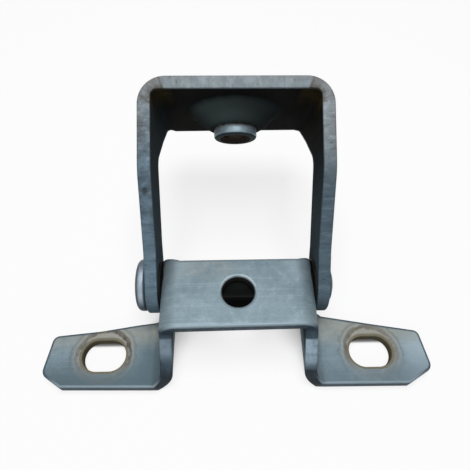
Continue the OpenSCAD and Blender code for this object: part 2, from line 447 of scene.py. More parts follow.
def half_bracket(taper):
    """Corners of the right-hand half of the bracket's blank."""
    ear_u = U_WALL + BRIDGE_H - BEND_OUT_R - PIVOT_Z + WALL_EAR_R
    return [
        (U_WALL, BRIDGE_FRONT_Y, SMALL_ROUND),
        (wall_u(SLANT_Z), SLANT_Y - FOOT_FRONT, SLANT_ROUND),
        (wall_u(0.6 * SHEET_T), -FOOT_FRONT, SMALL_ROUND),
        (foot_u(FOOT_X - FOOT_CUT_X), -FOOT_FRONT, FOOT_FRONT_ROUND),
        (foot_u(FOOT_X), FOOT_CUT_Y - FOOT_FRONT, FOOT_CUT_ROUND),
        (foot_u(FOOT_X - FOOT_END_SLANT), FOOT_REAR, CORNER_ROUND),
        (foot_u(SLOT_X + SLOT_W / 5), FOOT_REAR + 0.45 * taper, LONG_ROUND),
        (U_FOOT, FOOT_REAR + taper, CORNER_ROUND),
        (ear_u, PIVOT_Y, 0),
        (ear_u, EAR_BACK_Y, WALL_EAR_R - 2 * ROUND_CLEAR),
        (wall_u(PIVOT_Z), EAR_BACK_Y, 0),
        (U_BRIDGE_END, BRIDGE_BACK_Y, CORNER_ROUND),
    ]


def base_bracket(material):
    """The pressing with the bridge, the two walls and the two slotted feet."""
    outline = rounded(half_bracket(RIGHT_TAPER) + mirrored(half_bracket(LEFT_TAPER)))
    holes = [circle((0, BRIDGE_FRONT_Y + BRIDGE_HOLE_Y), BRIDGE_HOLE_D / 2)]
    for side in (-1, 1):
        holes.append(slot((side * foot_u(SLOT_X), 0), SLOT_L, SLOT_W))
        holes.append(circle((side * wall_u(PIVOT_Z), PIVOT_Y), WALL_BORE_R))
    stops = [
        (0, False),
        (U_BRIDGE_END, True),
        (U_WALL, False),
        (U_WALL_END, True),
        (U_FOOT, False),
        (foot_u(FOOT_X), False),
    ]
    grid = grid_spots(stops, -FOOT_FRONT, EAR_BACK_Y, GRID, BEND_GRID)

    def place(u, v, height):
        """Bends the blank; the ears behind the feet stay straight."""
        point, normal = bracket_section.at(u)
        root_y = FOOT_REAR + (RIGHT_TAPER if u > 0 else LEFT_TAPER)
        behind = smooth_share(v, root_y, root_y + EAR_BLEND)
        if behind:
            flat, flat_normal = channel_section.at(u)
            point = point.lerp(flat, behind)
            normal = normal.lerp(flat_normal, behind).normalized()
        spot = point + normal * height
        return Vector((spot.x, v, max(0, spot.y)))

    piece = bent_sheet("bracket_sheet", outline, holes, grid, place, material)
    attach(piece, "base")
    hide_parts("base_bracket")


# Arm: lengths u along its section, from the middle of the web


ARM_MID_R = ARM_BEND_R + HALF_T
U_WEB_END = ARM_OUT_X - ARM_BEND_OUT_R
U_LEG = U_WEB_END + ARM_MID_R * QUARTER

# The arm's corner as pressed: its reach past a plain bend, and its radii outside and inside
BEND_FROM = 4
BEND_TO = 5
CORNER_OUT_R = 7.4
CORNER_IN_R = 1.7


def bend_face(radius, across, up):
    """Face of the arm's bend from a point on the web to one on the leg, round a corner."""
    start = U_WEB_END - BEND_FROM
    return Section(
        (start, up),
        [(0, across - radius - start), (radius, -QUARTER), (0, up - radius - LEG_STRAIGHT_Y)],
    )


# How far into the bend the rear shoulder reaches
SHOULDER_RISE = 1.2

LEG_STRAIGHT_Y = ARM_L - ARM_BEND_OUT_R - BEND_TO
outer_bend = bend_face(CORNER_OUT_R, ARM_OUT_X, ARM_L)
inner_bend = bend_face(CORNER_IN_R, ARM_IN_X, ARM_L - SHEET_T)


def arm_spot(u, height):
    """Point of the bent sheet and its outward normal, across the arm."""
    away = abs(u)
    share = (away - U_WEB_END + BEND_FROM) / (U_LEG - U_WEB_END + BEND_FROM + BEND_TO)
    if share <= 0:
        spot = Vector((away, ARM_L - HALF_T + height))
        normal = Vector((0, 1))
    elif share >= 1:
        along = U_LEG + ARM_L - ARM_BEND_OUT_R - away
        spot = Vector((ARM_OUT_X - HALF_T + height, along))
        normal = Vector((1, 0))
    else:
        outer, normal = outer_bend.at(share * outer_bend.length())
        inner, _ = inner_bend.at(share * inner_bend.length())
        spot = inner.lerp(outer, (height + HALF_T) / SHEET_T)
    if u < 0:
        spot.x = -spot.x
        normal.x = -normal.x
    return spot, normal


def leg_u(along):
    """Length along the section at a distance from the pivot on a leg."""
    return U_LEG + ARM_L - ARM_BEND_OUT_R - along


def dish_depth(distance, rim_r, seat_r):
    """Depth of the dish at a distance from its axis."""
    share = min(1, max(0, (rim_r - distance) / (rim_r - seat_r)))
    return DISH_H * (1 - math.cos(math.pi * share)) / 2


def hinge_arm(material):
    """The U-shaped pressing with the dished web, two shouldered legs and their eyes."""
    bend_share = math.asin(min(1, (ARM_BEND_R + SHOULDER_RISE) / ARM_MID_R))
    shoulder_u = U_LEG - ARM_MID_R * bend_share
    half = [
        (leg_u(ARM_L - FRONT_TURN), WEB_FRONT, LONG_ROUND),
        (leg_u(FRONT_WAIST[0]), FRONT_WAIST[1], LONG_ROUND),
        (leg_u(0), EYE_R, 0),
        (leg_u(-EYE_R), EYE_R, EYE_R - ROUND_CLEAR),
        (leg_u(-EYE_R), -EYE_R, EYE_R - ROUND_CLEAR),
        (leg_u(0), -EYE_R, 0),
        (leg_u(REAR_WAIST[0]), REAR_WAIST[1], REAR_WAIST_ROUND),
        (leg_u(ARM_L - SHOULDER_L), WEB_FRONT - NECK_W, SHOULDER_ROUND),
        (shoulder_u, -WEB_REAR, CORNER_ROUND),
    ]
    outline = rounded(half + mirrored(half))
    centre = (0, DISH_Z)
    holes = [circle(centre, PILOT_R + PRESS_GAP)]
    for side in (-1, 1):
        holes.append(circle((side * leg_u(0), 0), EYE_BORE_R))
    stops = [(0, False), (U_WEB_END, True), (U_LEG, False), (leg_u(-EYE_R), False)]
    grid = grid_spots(stops, -WEB_REAR, WEB_FRONT, GRID, BEND_GRID)
    grid = [p for p in grid if (p - Vector(centre)).length > DISH_R + GRID_PAST]
    for radius in steps_between(PILOT_R + RINGS_FROM, DISH_R + RINGS_PAST, DISH_GRID):
        grid += circle(centre, radius, DISH_STEPS)

    def place(u, v, height):
        """Bends the blank and presses its dish inwards."""
        spot, normal = arm_spot(u, height)
        distance = math.hypot(u, v - DISH_Z)
        share = (1 + height / HALF_T) / 2
        inner = dish_depth(distance, DISH_R, DISH_SEAT_R)
        outer = dish_depth(distance, DISH_R - RECESS_INSET, DISH_SEAT_R - RECESS_INSET)
        spot -= normal * (inner + (outer - inner) * share)
        return ARM_FRAME @ Vector((spot.x, spot.y, v))

    piece = bent_sheet("arm_sheet", outline, holes, grid, place, material)
    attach(piece, "arm")
    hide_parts("hinge_arm")


# Turned pieces


def turned(name, profile, place, material, radius_at=None):
    """Piece turned from a profile of (radius, length along the axis)."""
    points = []
    lathe = []
    faces = []
    rings = []
    for radius, along in profile:
        start = len(points)
        if radius == 0:
            points.append(place @ Vector((0, 0, along)))
            lathe.append((0, along, 0))
            rings.append([start] * TURN_STEPS)
            continue
        lathe += [(radius, along, 0)] * TURN_STEPS
        for i in range(TURN_STEPS):
            turn = 2 * math.pi * i / TURN_STEPS
            r = radius_at(radius, along, turn) if radius_at else radius
            points.append(place @ Vector((r * math.cos(turn), r * math.sin(turn), along)))
        rings.append(list(range(start, start + TURN_STEPS)))
    pairs = list(zip(rings, rings[1:]))
    if profile[0][0] > 0:
        pairs.append((rings[-1], rings[0]))
    for ring, after in pairs:
        for i in range(TURN_STEPS):
            face = [ring[i - 1], ring[i], after[i], after[i - 1]]
            faces.append([c for k, c in enumerate(face) if c != face[k - 1]])
    piece = mesh_piece(name, points, faces, material)
    keep_vectors(piece.data, "lathe", lathe)
    return piece


def along_x(x=0):
    """Places a turned piece on the pivot's axis."""
    return PIVOT @ Matrix.Translation((x, 0, 0)) @ Matrix.Rotation(QUARTER, 4, "Y")


def spread(profile, step=0.6):
    """Divides a profile's long straight stretches."""
    points = []
    for start, end in zip(profile, profile[1:]):
        parts = max(1, round((end - start).length / step))
        points += [start.lerp(end, k / parts) for k in range(parts)]
    return points + [profile[-1]]


def open_profile(corners, steps=5):
    """Profile whose first and last corners stay as they are."""
    points = [Vector(c[:2]) for c in corners]
    profile = [points[0]]
    for i in range(1, len(corners) - 1):
        profile += corner_arc(points[i - 1], points[i], points[i + 1], corners[i][2], steps)
    return spread(profile + [points[-1]])


def hinge_pin(material):
    """The pin with its forged head on the left and its hammered end on the right."""
    head_r = HEAD_D / 2
    rivet_r = RIVET_D / 2
    head_end = HEAD_SEAT_X + HEAD_H
    rivet_end = HEAD_SEAT_X + RIVET_H
    profile = open_profile(
        [
            (0, -head_end, 0),
            (0.35 * head_r, -head_end, 3),
            (head_r, -head_end + 0.5, 0.45 * HEAD_H),
            (head_r, -HEAD_SEAT_X - 0.6, 0.4),
            (head_r - 0.5, -HEAD_SEAT_X, 0.2),
            (PIN_R, -HEAD_SEAT_X, 0),
            (PIN_R, HEAD_SEAT_X, 0),
            (rivet_r - 0.2, HEAD_SEAT_X, 0.1),
            (rivet_r, HEAD_SEAT_X + 0.55 * RIVET_H, 0.5),
            (0.6 * rivet_r, rivet_end, 1.2),
            (0, rivet_end, 0),
        ]
    )
    piece = turned("pin_with_head", profile, along_x(), material)
    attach(piece, "base")
    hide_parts("hinge_pin")


def bush(side, material):
    """The flanged bush of one eye; side is -1 on the left and 1 on the right."""
    name = "left" if side < 0 else "right"
    flange_r = BUSH_FLANGE_D / 2
    profile = open_profile(
        [
            (BUSH_IN_R, -BUSH_FLANGE_T, 0),
            (flange_r, -BUSH_FLANGE_T, 0.2),
            (flange_r, 0, 0.05),
            (BUSH_OUT_R, 0, 0),
            (BUSH_OUT_R, SHEET_T, 0.3),
            (BUSH_IN_R, SHEET_T, 0.1),
            (BUSH_IN_R, -0.5 * BUSH_FLANGE_T, 0),
        ]
    )
    place = along_x(ARM_IN_X)
    if side < 0:
        place = Matrix.Diagonal((-1, 1, 1, 1)) @ place
    piece = turned("flanged_bush_" + name, profile, place, material)
    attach(piece, "arm")
    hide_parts("bush_" + name)


def threaded_collar(material):
    """The collar with its pilot in the dish and a thread inside."""
    collar_r = COLLAR_D / 2
    core_r = THREAD_CORE_D / 2
    lead_in_r = LEAD_IN_D / 2
    end = SHEET_T + COLLAR_H
    outside = open_profile(
        [
            (core_r + 0.5, 0, 0),
            (PILOT_R, 0, 0.2),
            (PILOT_R, SHEET_T, 0),
            (collar_r, SHEET_T, 0.15),
            (collar_r, end, 0.9),
            (lead_in_r, end, 0.15),
            (core_r, end - (lead_in_r - core_r), 0),
        ]
    )
    # The thread runs from the lead-in down to a short plain stretch
    first = end - (lead_in_r - core_r)
    plain = 0.5
    turns = steps_between(0, first - plain, THREAD_PITCH / 8)
    inside = [Vector((core_r, first - drop)) for drop in turns[1:]]
    depth = (THREAD_D - THREAD_CORE_D) / 2
    # Length over which a turn runs out, and how steep the thread's flanks are
    fade = 0.4
    flank = 2.6

    def threaded(radius, along, turn):
        """Radius on the thread's turns, which run out over a fade at both ends."""
        if radius > core_r + 1e-6 or not plain < along < first:
            return radius
        phase = (along / THREAD_PITCH - turn / (2 * math.pi)) % 1
        ends = min(1, (along - plain) / fade, (first - along) / fade)
        return radius + ends * depth * min(1, flank * min(phase, 1 - phase))

    place = ARM_FRAME @ Matrix.Translation((0, ARM_L - DISH_H, DISH_Z))
    place = place @ Matrix.Rotation(QUARTER, 4, "X")
    piece = turned("collar_thread", outside + inside, place, material, radius_at=threaded)
    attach(piece, "arm")
    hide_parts("threaded_collar")


# Materials


class Wire:
    """One value of a material's nodes, so that shader maths reads as Python."""

    def __init__(self, finish, socket):
        self.finish = finish
        self.socket = socket

    def maths(self, operation, *values):
        return self.finish.node("Math", {"operation": operation}, dict(enumerate(values)))

    def __add__(self, other):
        return self.maths("ADD", self, other)

    def __sub__(self, other):
        return self.maths("SUBTRACT", self, other)

    def __rsub__(self, other):
        return self.maths("SUBTRACT", other, self)

    def __mul__(self, other):
        return self.maths("MULTIPLY", self, other)

    def __abs__(self):
        return self.maths("ABSOLUTE", self)

    __radd__ = __add__
    __rmul__ = __mul__

    def most(self, other):
        return self.maths("MAXIMUM", self, other)

    def root(self):
        return self.maths("SQRT", self)

    def ramp(self, low, high):
        """Runs smoothly from 0 at low to 1 at high; low may be the larger."""
        settings = {"interpolation_type": "SMOOTHSTEP"}
        ends = {"From Min": min(low, high), "From Max": max(low, high)}
        ends["To Min"] = 0.0 if low < high else 1.0
        ends["To Max"] = 1.0 if low < high else 0.0
        return self.finish.node("MapRange", settings, {"Value": self, **ends})

    def band(self, low, high, soft):
        """Is 1 between low and high and fades over soft on both sides."""
        return self.ramp(low - soft, low) * self.ramp(high + soft, high)


class Finish:
    """A material whose nodes are added by one method."""

    def __init__(self, name):
        self.material = bpy.data.materials.new(name)
        self.material.use_nodes = True
        self.tree = self.material.node_tree
        self.shader = self.tree.nodes["Principled BSDF"]

    def node(self, kind, settings=None, sockets=None, output=0):
        """Adds a node: its settings first, then the values or links of its sockets."""
        made = self.tree.nodes.new("ShaderNode" + kind)
        for name, setting in (settings or {}).items():
            setattr(made, name, setting)
        for name, value in (sockets or {}).items():
            self.feed(made.inputs[name], value)
        return Wire(self, made.outputs[output])

    def feed(self, socket, value):
        if isinstance(value, Wire):
            self.tree.links.new(value.socket, socket)
        else:
            socket.default_value = value

    def set(self, **sockets):
        """Feeds the main shader; an underscore in a name stands for a space."""
        for name, value in sockets.items():
            self.feed(self.shader.inputs[name.replace("_", " ")], value)

    def attribute(self, name, output="Fac"):
        return self.node("Attribute", {"attribute_name": name}, output=output)

    def parts(self, vector):
        """The three components of a vector."""
        split = self.node("SeparateXYZ", sockets={"Vector": vector}).socket.node
        return [Wire(self, split.outputs[i]) for i in range(3)]

    def vector(self, x, y, z):
        return self.node("CombineXYZ", sockets={"X": x, "Y": y, "Z": z})

    def noise(self, at, scale, detail, roughness=0.55):
        sockets = {"Vector": at, "Scale": scale, "Detail": detail, "Roughness": roughness}
        return self.node("TexNoise", sockets=sockets, output="Fac")

    def mix(self, share, colour_a, colour_b):
        """Mixes two colours by a share."""
        sockets = {0: share, 6: colour_a, 7: colour_b}
        return self.node("Mix", {"data_type": "RGBA"}, sockets, output=2)

    def lay(self, share, colour):
        """Covers the surface with a colour by a share."""
        self.colour = self.mix(share, self.colour, colour)

    def bump(self, height, strength, distance):
        sockets = {"Height": height, "Strength": strength, "Distance": distance}
        return self.node("Bump", sockets=sockets)


def rgb(red, green, blue):
    """Linear colour of an sRGB value from 0 to 255."""
    def linear(c):
        c /= 255
        return c / 12.92 if c <= 0.04045 else ((c + 0.055) / 1.055) ** 2.4

    return (linear(red), linear(green), linear(blue), 1)


# Colours, as sRGB values
PLATING = rgb(136, 154, 162)
PLATING_DARK = rgb(112, 130, 139)
PLATING_PALE = rgb(168, 186, 197)
PLATING_SHADE = rgb(84, 101, 109)
PLATING_WARM = rgb(147, 148, 140)
BRACKET_CUT = rgb(58, 73, 85)
SLANT_HIGHLIGHT = rgb(172, 194, 210)
SLOT_RUB = rgb(152, 149, 139)
WASHER_RING = rgb(98, 95, 86)
SLOT_WALL = rgb(134, 127, 104)
SLOT_LIP = rgb(172, 170, 156)
SCRATCH = rgb(182, 194, 200)
SHADE_BLACK = rgb(24, 24, 22)
INNER_SHADE = rgb(17, 16, 11)
FILM_OLIVE = rgb(78, 68, 44)
DISH_LIGHT = rgb(106, 121, 122)
CUT_HIGH = rgb(150, 160, 166)
CUT_LOW = rgb(96, 115, 128)
CUT_BLUE = rgb(116, 140, 156)
CUT_BROWN = rgb(124, 116, 112)
CUT_FLECK = rgb(184, 198, 205)
RUST = rgb(84, 62, 42)
PIT = rgb(52, 50, 46)
PIN_HIGHLIGHT = (rgb(158, 171, 184), rgb(174, 188, 200))
PIN_DULL = rgb(72, 86, 96)
COLLAR_BRIGHT = (rgb(156, 180, 191), rgb(178, 200, 211))
COLLAR_FACE = rgb(44, 53, 57)
COLLAR_LIP = rgb(120, 134, 140)
COLLAR_BORE = rgb(62, 49, 40)
BUSH_DARK = rgb(16, 16, 18)
BUSH_PALE = rgb(30, 29, 28)

# Share of bare metal in the clean surfaces, and the depth of their relief in metres
METALLIC = 0.35
RELIEF_DEPTH = 0.00012


class Plating(Finish):
    """Zinc plating over rolled sheet, laid out in millimetres on the flat blank."""

    def __init__(self, name):
        super().__init__(name)
        self.at = self.attribute("blank", "Vector")
        self.u, self.v, self.height = self.parts(self.at)
        self.away = abs(self.u)
        self.rim = self.attribute("rim")
        self.cloud = self.noise(self.at, 0.09, 3)
        self.mottle = self.noise(self.at, 0.42, 5, 0.62)
        self.grain = self.noise(self.at, 2.6, 4, 0.7)
        lines = self.noise(self.vector(self.u * 0.05, self.v * 2.4, self.height), 1.0, 3)
        self.colour = self.mix(self.cloud.ramp(0.3, 0.7), PLATING_DARK, PLATING)
        self.lay(self.mottle.ramp(0.5, 0.75) * 0.35, PLATING_PALE)
        self.lay(self.mottle.ramp(0.46, 0.28) * 0.35, PLATING_SHADE)
        self.lay(lines.ramp(0.5, 0.75) * 0.25, PLATING_PALE)
        self.lay(self.grain.ramp(0.45, 0.75) * 0.55, PLATING_DARK)
        self.lay(self.grain.ramp(0.4, 0.25) * 0.5, PLATING_PALE)
        self.scratches = self.scratch(0.9, 0.16, 5.0).most(self.scratch(-0.35, 0.2, 6.0))
        self.lay(self.scratches * 0.2, SCRATCH)
        self.set(Specular_IOR_Level=0.03)

    def scratch(self, lean, along, across):
        """Sparse fine scratches that run at a lean to the blank's length."""
        run = self.u * along + self.v * (along * lean)
        over = self.v * across - self.u * (across * lean)
        return self.noise(self.vector(run, over, self.height), 1.0, 1).ramp(0.66, 0.74)

    def finished(self, dull):
        """Feeds the shader; dull is 1 where painted shade or rust takes the gloss."""
        bare = 0.36 + 0.2 * self.cloud + 0.12 * self.grain
        self.set(Base_Color=self.colour, Roughness=bare + dull * 0.3, Metallic=METALLIC * (1 - dull))
        relief = self.mottle * 0.5 + self.grain * 0.5 - self.scratches * 0.25
        self.set(Normal=self.bump(relief, 0.35, RELIEF_DEPTH))
        return self.material


# Radii round a slot's middle of what the washers left, and of the slot's own wall
WASHER_R = 9.4
WASHER_IN_R = 7.4
RING = (7.2, 7.8)
OUTER_RING = (9.2, 9.5)
SLOT_MOUTH_R = 7


def bracket_plating():
    """Pale rubbed bridge, darker feet with washer marks, and dark cut edges."""
    plating = Plating("bracket_plating")
    u, v, away, rim, height = plating.u, plating.v, plating.away, plating.rim, plating.height
    patch = plating.mottle.ramp(0.35, 0.6)
    left = u.ramp(2, -2)
    foot = away.ramp(U_WALL_END, U_FOOT)
    bridge = away.ramp(U_WALL, U_BRIDGE_END)
    front = v.ramp(2, -8)

    # Paler and darker areas of the upper faces, with painted highlights on the bridge and painted light
    # and shade on the feet
    # Painted highlight: the bridge paler towards its front
    plating.lay(bridge * v.ramp(16, 4) * 0.06, PLATING_PALE)
    plating.lay(bridge * away.ramp(10, 17) * v.ramp(12, 20) * 0.25, PLATING_PALE)
    plating.lay(bridge * left * v.ramp(13, 22) * patch * 0.4, PLATING_WARM)
    # Painted highlight along the bridge's front edge
    plating.lay(bridge * v.ramp(3.9, 3) * (0.4 + 0.35 * patch), PLATING_PALE)
    # Painted light: the right foot paler towards its outer end
    plating.lay(foot * (1 - left) * away.ramp(FOOT_X, FOOT_X + 12) * 0.7, PLATING_PALE)
    plating.lay(foot * front * (0.5 + left * 0.4), PLATING_SHADE)
    # Painted shade: the feet darker beside the walls, most on the left
    plating.lay(foot * away.ramp(U_FOOT + 10, U_FOOT) * (0.3 + left * 0.6), PLATING_SHADE)
    plating.lay(foot * v.ramp(0, 7) * (0.45 + 0.3 * patch), PLATING_WARM)

    # What the washers left round the slots
    along = away - foot_u(SLOT_X)
    wobble = (plating.mottle - 0.5) * 2.4 + (plating.cloud - 0.5) * 2
    reach = (along * along + v * v).root() + wobble
    to_back = 0.15 + 0.85 * v.ramp(-7, 1)
    plating.lay(reach.ramp(WASHER_R, WASHER_IN_R) * foot * to_back * 0.7, SLOT_RUB)
    wallward = 0.6 + 0.4 * along.ramp(5, -4)
    ring = reach.band(*RING, 0.7) * foot * wallward * to_back
    plating.lay(ring * (0.6 + 0.35 * patch), WASHER_RING)
    plating.lay(ring * left * patch * 0.5, PIT)
    plating.lay(reach.band(*OUTER_RING, 0.5) * foot * to_back * 0.35, WASHER_RING)

    # Cut edges, darker partly in their own tone and partly as painted shade, painted highlights on
    # their rolled lips, and painted highlights on the slanting fronts of the walls
    lip = rim * height.ramp(0.8, 1.35)
    # Cut edges darker, partly their own tone and partly painted shade
    plating.lay(rim * (0.82 + 0.18 * patch), BRACKET_CUT)
    plating.lay(rim * away.band(U_WALL_END, U_FOOT, 1) * 0.45, PIT)
    # Painted highlight: a thin pale line along the feet's front top edges
    thin_lip = rim * height.ramp(1.2, 1.6)
    frontmost = v.ramp(FOOT_CUT_Y - FOOT_FRONT, 1 - FOOT_FRONT)
    plating.lay(thin_lip * (0.1 + 0.5 * frontmost) * foot, PLATING_PALE)
    plating.lay(lip * bridge * 0.9, PLATING)
    # Painted highlight along the bridge's front lip
    plating.lay(lip * bridge * v.ramp(8, 4) * 0.45, PLATING_PALE)
    # Painted highlight on the slanting fronts of the walls, weaker on the left
    slant = rim * v.ramp(3.5, 2) * away.ramp(U_WALL + 1, U_WALL + 1.5)
    slant = slant * (away + left * 1.5).ramp(U_WALL + 8, U_WALL + 5)
    plating.lay(slant * (0.5 + 0.35 * patch) * (1 - left * 0.4), SLANT_HIGHLIGHT)

    # Walls of the slots, and of the bridge's hole with painted shade below its rim and a painted
    # highlight on its far lip
    in_slot = rim * reach.ramp(SLOT_MOUTH_R + 0.4, SLOT_MOUTH_R) * foot
    plating.lay(in_slot, SLOT_WALL)
    plating.lay(in_slot * plating.grain.ramp(0.5, 0.7) * 0.35, RUST)
    plating.lay(in_slot * lip * 0.3, SLOT_LIP)
    past = v - (BRIDGE_FRONT_Y + BRIDGE_HOLE_Y)
    hole_r = BRIDGE_HOLE_D / 2
    in_hole = rim * (u * u + past * past).root().ramp(hole_r + 1.5, hole_r + 1)
    # Painted shade: the hole's wall near black below its rim
    plating.lay(in_hole * height.ramp(1.3, 0.9), SHADE_BLACK)
    # Painted highlight on the hole's far lip
    plating.lay(in_hole * lip * past.ramp(-2, 3) * (0.35 + 0.4 * patch), CUT_FLECK)

    # Undersides, with painted shade, near black in the channel under the bridge
    under = height.ramp(-0.9, -1.6) * (1 - rim)
    plating.lay(under * (0.45 + 0.3 * patch), PLATING_SHADE)
    channel = under * away.ramp(U_WALL_END, U_WALL)
    plating.lay(channel * 0.85, SHADE_BLACK)
    return plating.finished(in_slot.most(channel))


# Places along a leg, as distances from the pivot
CUT_BRIGHT_FROM = 28
SHADE_FROM = 14
SHADE_FULL_FROM = 42
WAIST_FROM = 20
WAIST_TO = 41
DENT_ALONG = 25.8


def arm_plating():
    """Painted shade inside the arm, lighter on its lower legs, and mottled cut edges paler up the legs,
    partly from painted light.
    """
    plating = Plating("arm_plating")
    u, v, away, rim, height = plating.u, plating.v, plating.away, plating.rim, plating.height
    patch = plating.mottle.ramp(0.35, 0.6)
    left = u.ramp(2, -2)
    high = (away - (1 - left) * 5).ramp(leg_u(CUT_BRIGHT_FROM), U_LEG)
    web = away.ramp(U_LEG, U_WEB_END)

    # Painted shade on the inner faces, lighter on the lower legs, olive corners, and painted light on
    # the dish
    inner = height.ramp(-0.9, -1.6) * (1 - rim)
    lower_legs = away.ramp(leg_u(SHADE_FULL_FROM), leg_u(SHADE_FROM))
    plating.lay(inner * (0.5 + 0.3 * lower_legs), PLATING_SHADE)
    # Painted shade: the inner faces near black, less on the lower legs and the left leg
    plating.lay(inner * (1 - lower_legs * 0.85) * (0.98 - left * (1 - web) * 0.26), INNER_SHADE)
    corner = inner * away.band(U_WEB_END - 1, U_LEG, 2.5) * v.ramp(4, 16)
    plating.lay(corner * (0.4 + 0.5 * patch), FILM_OLIVE)
    past = v - DISH_Z
    reach = (u * u + past * past).root() + (plating.mottle - 0.5)
    dish = inner * reach.ramp(DISH_R + 0.3, DISH_R - 3)
    # Painted light on the dish, strongest on its left and towards the web's front edge
    plating.lay(dish * (0.45 + 0.5 * u.ramp(10, -10)) * v.ramp(-4, 8), DISH_LIGHT)
    plating.lay(dish * reach.ramp(8.6, 6.9) * (0.25 + 0.45 * patch), PIT)

    # Cut edges: blue below and paler up the legs and on the web, partly their own tone and partly
    # painted light from above, with painted shade on the left leg; brown where the sheet tore or was
    # bent
    # Painted shade: the left leg's lower cut edges darker than the right's
    low = plating.mix(left, CUT_LOW, CUT_BLUE)
    plating.lay(rim, plating.mix(high, low, CUT_HIGH))
    plating.lay(rim * patch * 0.3, PLATING_SHADE)
    # Painted shade: the left leg's upper cut edges darker
    plating.lay(rim * high * left * (1 - web) * (0.15 + 0.3 * patch), PLATING_SHADE)
    torn = height.ramp(-0.8, 0.6)
    plating.lay(rim * high * torn * (0.08 + 0.3 * patch) * (1 - web * 0.4), CUT_BROWN)
    bend = away.band(U_WEB_END - 0.4, U_LEG + 0.8, 0.3)
    plating.lay(rim * bend * (0.2 + 0.3 * patch), CUT_BROWN)
    crease = abs(away - U_WEB_END).ramp(0.35, 0.1)
    plating.lay(rim * crease * 0.35, PIT)
    plating.lay(rim * bend * height.ramp(0.2, -1.4) * 0.5, FILM_OLIVE)

    # Flecks, tear marks and the one dent on the left leg
    flecks = plating.noise(plating.vector(u * 1.6, v * 1.6, height * 0.5), 1.0, 3, 0.7)
    plating.lay(rim * high * flecks.ramp(0.54, 0.72) * (0.5 - web * 0.2), CUT_FLECK)
    plating.lay(rim * flecks.ramp(0.38, 0.3) * 0.45, PIT)
    tears = plating.noise(plating.vector(u * 0.8, v * 0.8, height * 0.2), 1.0, 4, 0.6)
    plating.lay(rim * tears.ramp(0.5, 0.75) * (0.25 - high * 0.12 - web * 0.05), PLATING_PALE)
    plating.lay(rim * tears.ramp(0.48, 0.28) * (0.35 - high * 0.15 - web * 0.12), BRACKET_CUT)
    waist = away.band(leg_u(WAIST_TO), leg_u(WAIST_FROM), 6)
    plating.lay(rim * waist * (0.05 + 0.25 * left * patch), PIT)
    beside = u + leg_u(DENT_ALONG)
    far = (beside * beside + height * height * 1.8).root() + (plating.grain - 0.5) * 1.6
    plating.lay(rim * v.ramp(8, 12) * far.ramp(1.2, 0.6) * 0.55, PIT)
    return plating.finished(inner.most(rim * 0.3))


class TurnedSteel(Finish):
    """Plated turned steel, laid out by radius and by length along its own axis."""

    def __init__(self, name, colour_a, colour_b):
        super().__init__(name)
        self.radius, self.along, _ = self.parts(self.attribute("lathe", "Vector"))
        place = self.node("TexCoord", output="Object")
        self.at = self.node("VectorMath", {"operation": "SCALE"}, {0: place, "Scale": 1 / MM})
        self.grain = self.noise(self.at, 2.2, 5, 0.7)
        self.cloud = self.noise(self.at, 0.35, 4)
        self.colour = self.mix(self.cloud.ramp(0.35, 0.65), colour_a, colour_b)
        self.set(Specular_IOR_Level=0.1)

    def finished(self, dull):
        """Feeds the shader; dull is 1 where painted shade or rust takes the gloss."""
        rough = 0.34 + 0.16 * self.grain + dull * 0.35
        self.set(Base_Color=self.colour, Roughness=rough, Metallic=METALLIC * (1 - dull))
        relief = self.grain * 0.6 + self.cloud * 0.4
        self.set(Normal=self.bump(relief, 0.3, RELIEF_DEPTH))
        return self.material


# Direction that the painted highlight on the pin's head faces
HIGHLIGHT_UP = 0.85
HIGHLIGHT_FORWARD = 0.53


def pin_steel():
    """Dull plated steel with a painted highlight round the upper front of the head."""
    steel = TurnedSteel("pin_steel", *PIN_HIGHLIGHT)
    _, y, z = steel.parts(steel.at)
    front_top = (z - PIVOT_Z) * HIGHLIGHT_UP - (y - PIVOT_Y) * HIGHLIGHT_FORWARD
    highlight_facing = 0.2 + 0.8 * front_top.ramp(0.25 * HEAD_D, 0.48 * HEAD_D)
    highlight_band_from = -HEAD_SEAT_X - HEAD_H * 0.5
    highlight_band_to = -HEAD_SEAT_X - HEAD_H * 0.28
    highlight_band = steel.along.band(highlight_band_from, highlight_band_to, HEAD_H * 0.22)
    # Painted highlight: the head bright in a band facing up and forward, dull elsewhere
    steel.lay((1 - highlight_band * highlight_facing) * 0.92, PIN_DULL)
    steel.lay(steel.grain.ramp(0.56, 0.7) * steel.cloud.ramp(0.5, 0.64) * 0.6, RUST)
    # Painted shade: the shank near black where it lies under the bridge
    shank = abs(steel.along).ramp(HEAD_SEAT_X + 0.2, HEAD_SEAT_X - 0.2)
    steel.lay(shank * 0.96, SHADE_BLACK)
    return steel.finished(shank)


def collar_steel():
    """Bright turned steel with a dark end face and bore, and rust at its foot."""
    end = SHEET_T + COLLAR_H
    steel = TurnedSteel("collar_steel", *COLLAR_BRIGHT)
    foot = steel.along.ramp(SHEET_T + 1.3, SHEET_T + 0.1)
    steel.lay(foot * (0.45 + 0.5 * steel.cloud.ramp(0.4, 0.6)), RUST)
    face = steel.along.ramp(end - 0.6, end - 0.25)
    steel.lay(face * 0.92, COLLAR_FACE)
    lip = steel.radius.band(LEAD_IN_D / 2, LEAD_IN_D / 2 + 0.1, 0.12) * steel.grain.ramp(0.4, 0.6)
    steel.lay(lip * 0.7, COLLAR_LIP)
    bore = steel.radius.ramp(LEAD_IN_D / 2, LEAD_IN_D / 2 - 0.15)
    steel.lay(bore * 0.97, COLLAR_BORE)
    steel.lay(bore * steel.grain.ramp(0.55, 0.7) * 0.6, RUST)
    back = steel.along.ramp(SHEET_T, SHEET_T - 0.4)
    steel.lay(back * steel.grain.ramp(0.4, 0.65) * 0.5, RUST)
    return steel.finished(bore.most(foot).most(face * 0.8))


